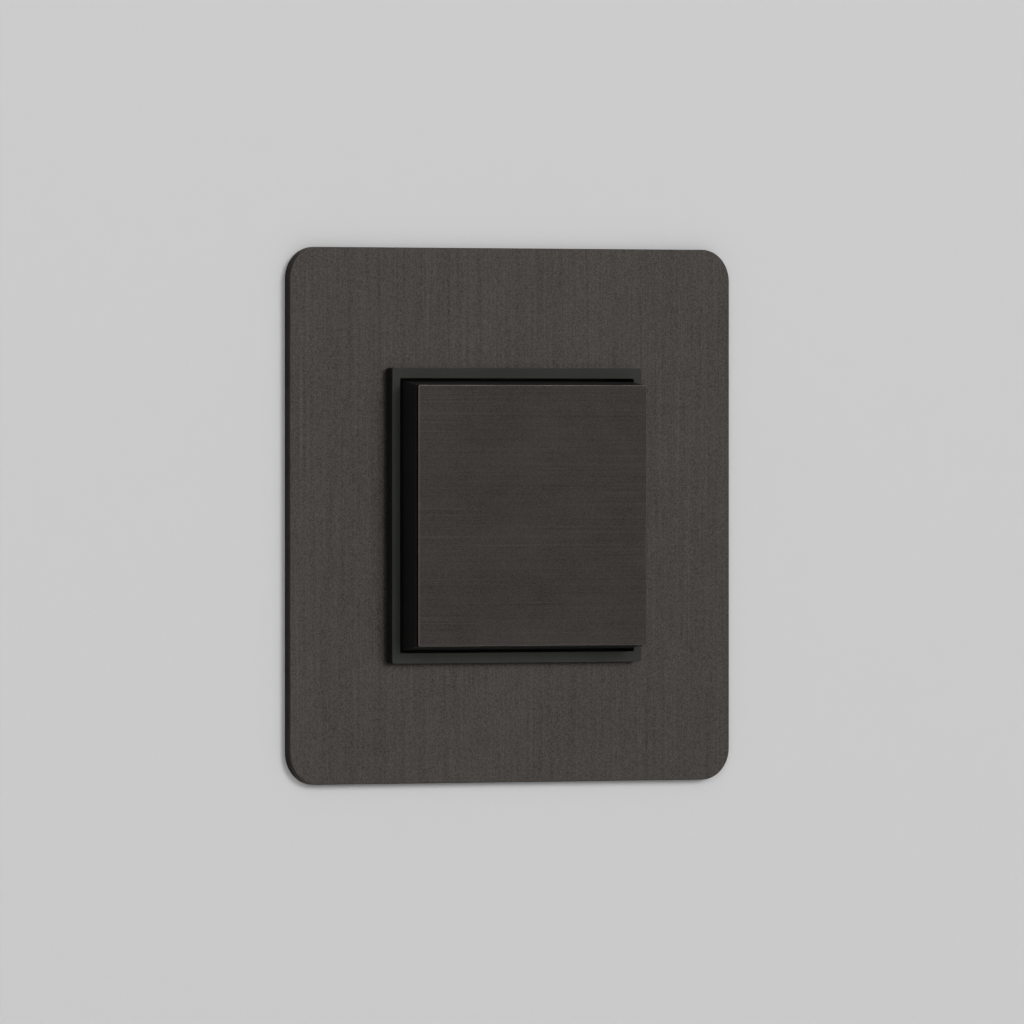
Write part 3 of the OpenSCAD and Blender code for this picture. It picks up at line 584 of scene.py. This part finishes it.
def make_spring(node, wire, turns, inner, outer):
    """A smooth coil on the path of its CAD node, which stands in for the node."""
    low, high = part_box(node)
    middle = (low + high) / 2
    radius = (high.x - low.x - wire) / 2
    first, last = high.y - wire / 2, low.y + wire / 2
    slope = (last - first) / (turns * math.tau)
    rings = []
    for k in range(turns * COIL_RINGS + 1):
        angle = math.tau * k / COIL_RINGS
        out = Vector((math.cos(angle), 0, math.sin(angle)))
        run = Vector((-radius * math.sin(angle), slope, radius * math.cos(angle))).normalized()
        side = run.cross(out)
        centre = Vector((middle.x, first + slope * angle, middle.z)) + radius * out
        ring = []
        for j in range(WIRE_SIDES):
            around = math.tau * j / WIRE_SIDES
            ring.append(centre + wire / 2 * (math.cos(around) * out + math.sin(around) * side))
        rings.append(ring)
    form = bmesh.new()
    loft(form, rings)
    piece = make_piece(node + "_coil", form, NODE_SLOT[node])
    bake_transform(piece)
    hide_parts(node)


def rectangle(x, z):
    return [(x[0], z[0]), (x[1], z[0]), (x[1], z[1]), (x[0], z[1])]


def grown(x, z, margin):
    """A rectangle with a margin round it."""
    return rectangle((x[0] - margin, x[1] + margin), (z[0] - margin, z[1] + margin))


def circle(x, z, radius, points=32):
    angles = [math.tau * i / points for i in range(points)]
    return [(x + radius * math.cos(a), z + radius * math.sin(a)) for a in angles]


def ring(form, outer, inner, low, high):
    """A closed ring between two loops of points in X and Z, from one depth along Y to another."""
    loops = []
    for loop in (outer, inner):
        for y in (low, high):
            loops.append([form.verts.new((x, y, z)) for x, z in loop])
    out_low, out_high, in_low, in_high = loops
    sides = ((out_low, out_high), (out_high, in_high), (in_high, in_low), (in_low, out_low))
    for i in range(len(outer)):
        j = (i + 1) % len(outer)
        for a, b in sides:
            form.faces.new((a[i], a[j], b[j], b[i]))


def bar(form, outline, low, high):
    """A closed bar of an outline in X and Z, from one depth along Y to another."""
    loops = [[form.verts.new((x, y, z)) for x, z in outline] for y in (low, high)]
    for i in range(len(outline)):
        j = (i + 1) % len(outline)
        form.faces.new((loops[0][i], loops[0][j], loops[1][j], loops[1][i]))
    form.faces.new(loops[0])
    form.faces.new(loops[1])


def make_relief(name, form, node, edge):
    """A raised form that belongs to a node, with the node's finish."""
    bmesh.ops.recalc_face_normals(form, faces=form.faces)
    piece = make_piece(name, form, NODE_SLOT[node], round_edges(form, edge))
    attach(piece, NODE_BODY[node])


# How far each relief reaches into its node
SEAT = 0.05 * MM

# Rims round the terminals, and barriers beside them
RIM_IN, RIM_OUT, RIM_RISE = 0.3 * MM, 1.1 * MM, 0.45 * MM
RIM_EDGE = 0.12 * MM
BARRIER_AT, BARRIER_T, BARRIER_RISE = 8.0 * MM, 0.9 * MM, 0.75 * MM
BARRIER_EDGE = 0.15 * MM

# Marks on the housing: a bare field, a gauge for the stripped wire, and the mould's ejector rings
FIELD_X, FIELD_Z = -5.5 * MM, 0.0
FIELD_W, FIELD_H, FIELD_RIM = 19 * MM, 10 * MM, 0.45 * MM
GAUGE_X, GAUGE_Z = -18.5 * MM, 10.2 * MM
GAUGE_LENGTH, GAUGE_T = 7.5 * MM, 0.5 * MM
MARK_RISE = 0.25 * MM
MARK_EDGE = 0.06 * MM
EJECTOR_MARKS = [
    (-19.0 * MM, 0.0),
    (-12.5 * MM, -12 * MM),
    (12.5 * MM, 12 * MM),
    (12.5 * MM, -12 * MM),
]
EJECTOR_R, EJECTOR_T, EJECTOR_RISE = 1.5 * MM, 0.2 * MM, 0.1 * MM


def terminal_windows():
    """The spans in X and Z of the upper, lower and common terminals."""
    high_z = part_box("upper_terminal")[1].z
    high_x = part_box("common_terminal")[1].x
    low_z, low_x = high_z - TERMINAL_DEPTH, high_x - TERMINAL_DEPTH
    across = (-TERMINAL_HALF, TERMINAL_HALF)
    return (across, (low_z, high_z)), (across, (-high_z, -low_z)), ((low_x, high_x), across)


def make_terminal_rims(seat, back):
    form = bmesh.new()
    for x, z in terminal_windows():
        ring(form, grown(x, z, RIM_OUT), grown(x, z, RIM_IN), seat, back + RIM_RISE)
    make_relief("terminal_rims", form, "rear_housing", RIM_EDGE)


def make_terminal_barriers(seat, back):
    upper, lower, common = terminal_windows()
    near, far = BARRIER_AT - BARRIER_T / 2, BARRIER_AT + BARRIER_T / 2
    form = bmesh.new()
    for side in (-1, 1):
        across = sorted((side * near, side * far))
        for x, z in ((across, upper[1]), (across, lower[1]), (common[0], across)):
            bar(form, rectangle(x, z), seat, back + BARRIER_RISE)
    make_relief("terminal_barriers", form, "rear_housing", BARRIER_EDGE)


def make_housing_marks(seat, back):
    top = back + MARK_RISE
    form = bmesh.new()
    x = (FIELD_X - FIELD_W / 2, FIELD_X + FIELD_W / 2)
    z = (FIELD_Z - FIELD_H / 2, FIELD_Z + FIELD_H / 2)
    ring(form, grown(x, z, FIELD_RIM), rectangle(x, z), seat, top)

    ends = (GAUGE_X, GAUGE_X + GAUGE_LENGTH)
    bar(form, rectangle(ends, (GAUGE_Z - GAUGE_T / 2, GAUGE_Z + GAUGE_T / 2)), seat, top)
    tick = (GAUGE_Z - 2 * GAUGE_T, GAUGE_Z + 2 * GAUGE_T)
    for end in ends:
        bar(form, rectangle((end - GAUGE_T / 2, end + GAUGE_T / 2), tick), seat, top)

    for x, z in EJECTOR_MARKS:
        outer, inner = circle(x, z, EJECTOR_R), circle(x, z, EJECTOR_R - EJECTOR_T)
        ring(form, outer, inner, seat, back + EJECTOR_RISE)
    make_relief("housing_marks", form, "rear_housing", MARK_EDGE)


def make_housing_relief():
    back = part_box("rear_housing")[1].y
    seat = back - SEAT
    make_terminal_rims(seat, back)
    make_terminal_barriers(seat, back)
    make_housing_marks(seat, back)


# The earth sign: its place, the thickness and rise of its lines, its stem and its three bars
SIGN_X, SIGN_TOP = 11.2 * MM, -25.2 * MM
SIGN_T, SIGN_RISE = 0.36 * MM, 0.12 * MM
SIGN_STEM, SIGN_STEP = 1.7 * MM, 0.8 * MM
SIGN_BARS = (2.8 * MM, 1.8 * MM, 0.8 * MM)
SIGN_EDGE = 0.05 * MM


def make_earth_mark():
    """The earth sign, raised on the back of the yoke beside its terminal."""
    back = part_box("screw_retainers")[0].y
    low, high = back - SEAT, back + SIGN_RISE
    half = SIGN_T / 2
    foot = SIGN_TOP - SIGN_STEM
    form = bmesh.new()
    bar(form, rectangle((SIGN_X - half, SIGN_X + half), (foot, SIGN_TOP)), low, high)
    for step, length in enumerate(SIGN_BARS):
        x = (SIGN_X - length / 2, SIGN_X + length / 2)
        z = foot - step * SIGN_STEP
        bar(form, rectangle(x, (z - half, z + half)), low, high)
    make_relief("earth_mark", form, "yoke", SIGN_EDGE)


def plate_outline(inset, steps=8):
    """The cover plate's outline in X and Z, drawn in by an inset."""
    low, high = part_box("cover_plate")
    radius = PLATE_CORNER - inset
    corners = ((high.x, high.z), (low.x, high.z), (low.x, low.z), (high.x, low.z))
    outline = []
    for quarter, (x, z) in enumerate(corners):
        middle_x = x - math.copysign(PLATE_CORNER, x)
        middle_z = z - math.copysign(PLATE_CORNER, z)
        for i in range(steps + 1):
            angle = (quarter + i / steps) * math.pi / 2
            point = (middle_x + radius * math.cos(angle), middle_z + radius * math.sin(angle))
            outline.append(point)
    return outline


def sheet_finish(name, colour):
    """A matt finish that is clear from behind."""
    finish = Finish(name, Roughness=SHEET_ROUGHNESS, Base_Color=(*colour, 1))
    output = finish.tree.nodes["Material Output"]
    mix = finish.node("ShaderNodeMixShader")
    clear = finish.node("ShaderNodeBsdfTransparent")
    behind = finish.node("ShaderNodeNewGeometry").outputs["Backfacing"]
    finish.tree.links.new(behind, mix.inputs[0])
    finish.tree.links.new(finish.shader.outputs["BSDF"], mix.inputs[1])
    finish.tree.links.new(clear.outputs["BSDF"], mix.inputs[2])
    finish.tree.links.new(mix.outputs["Shader"], output.inputs["Surface"])
    return finish.material


def make_sheet(name, form, finish):
    mesh = bpy.data.meshes.new(name)
    form.to_mesh(mesh)
    form.free()
    mesh.materials.append(finish)
    sheet = bpy.data.objects.new(name, mesh)
    bpy.context.scene.collection.objects.link(sheet)


def make_stage():
    """The wall with the plate's outline cut out, the floor, and dark strips of painted shade behind
    the yoke's slots.
    """
    pale = sheet_finish("stage", WALL_COLOUR)
    wall = bmesh.new()
    border = rectangle((-WALL_HALF, WALL_HALF), (FLOOR_Z, WALL_HALF))
    for loop in (border, plate_outline(WALL_LAP)):
        verts = [wall.verts.new((x, WALL_Y, z)) for x, z in loop]
        for i, vert in enumerate(verts):
            wall.edges.new((vert, verts[i - 1]))
    bmesh.ops.triangle_fill(wall, use_beauty=True, edges=wall.edges, normal=(0, -1, 0))
    make_sheet("wall", wall, pale)

    floor = bmesh.new()
    square = rectangle((-FLOOR_HALF, FLOOR_HALF), (-FLOOR_HALF, FLOOR_HALF))
    floor.faces.new([floor.verts.new((x, y, FLOOR_Z)) for x, y in square])
    make_sheet("floor", floor, pale)

    # Dark strips of painted shade behind the yoke's slots
    dark = bmesh.new()
    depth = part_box("yoke")[0].y - DARK_GAP
    for side in (-1, 1):
        span = sorted((side * DARK_INNER, side * DARK_OUTER))
        strip = rectangle((-DARK_HALF, DARK_HALF), span)
        dark.faces.new([dark.verts.new((x, depth, z)) for x, z in strip])
    make_sheet("slot_shade", dark, sheet_finish("slot_shade", SLOT_SHADE_COLOUR))


def make_world():
    """Soft light all round, stronger behind the wall than before it."""
    world = bpy.data.worlds.new("studio")
    world.use_nodes = True
    tree = world.node_tree
    direction = tree.nodes.new("ShaderNodeTexCoord").outputs["Generated"]
    slant = tree.nodes.new("ShaderNodeSeparateXYZ")
    strength = tree.nodes.new("ShaderNodeMapRange")
    background = tree.nodes["Background"]
    tree.links.new(direction, slant.inputs["Vector"])
    tree.links.new(slant.outputs["Y"], strength.inputs["Value"])
    tree.links.new(strength.outputs["Result"], background.inputs["Strength"])
    strength.inputs["From Min"].default_value = TURN_START
    strength.inputs["From Max"].default_value = TURN_END
    strength.inputs["To Min"].default_value = FRONT_WORLD
    strength.inputs["To Max"].default_value = REAR_WORLD
    background.inputs["Color"].default_value = (*WORLD_COLOUR, 1)
    bpy.context.scene.world = world


def make_lamps():
    for name, (place, width, watts) in LAMPS.items():
        data = bpy.data.lights.new(name, "AREA")
        data.size = width
        data.energy = watts
        lamp = bpy.data.objects.new(name, data)
        lamp.location = place
        lamp.rotation_mode = "QUATERNION"
        lamp.rotation_quaternion = (-Vector(place)).to_track_quat("-Z", "Y")
        bpy.context.scene.collection.objects.link(lamp)


bpy.context.scene.view_settings.view_transform = "Standard"
make_camera()
for name, width in EDGE.items():
    dressed(name, width)
make_threads()
for name, sizes in SPRINGS.items():
    make_spring(name, *sizes)
make_housing_relief()
make_earth_mark()
make_stage()
make_world()
make_lamps()
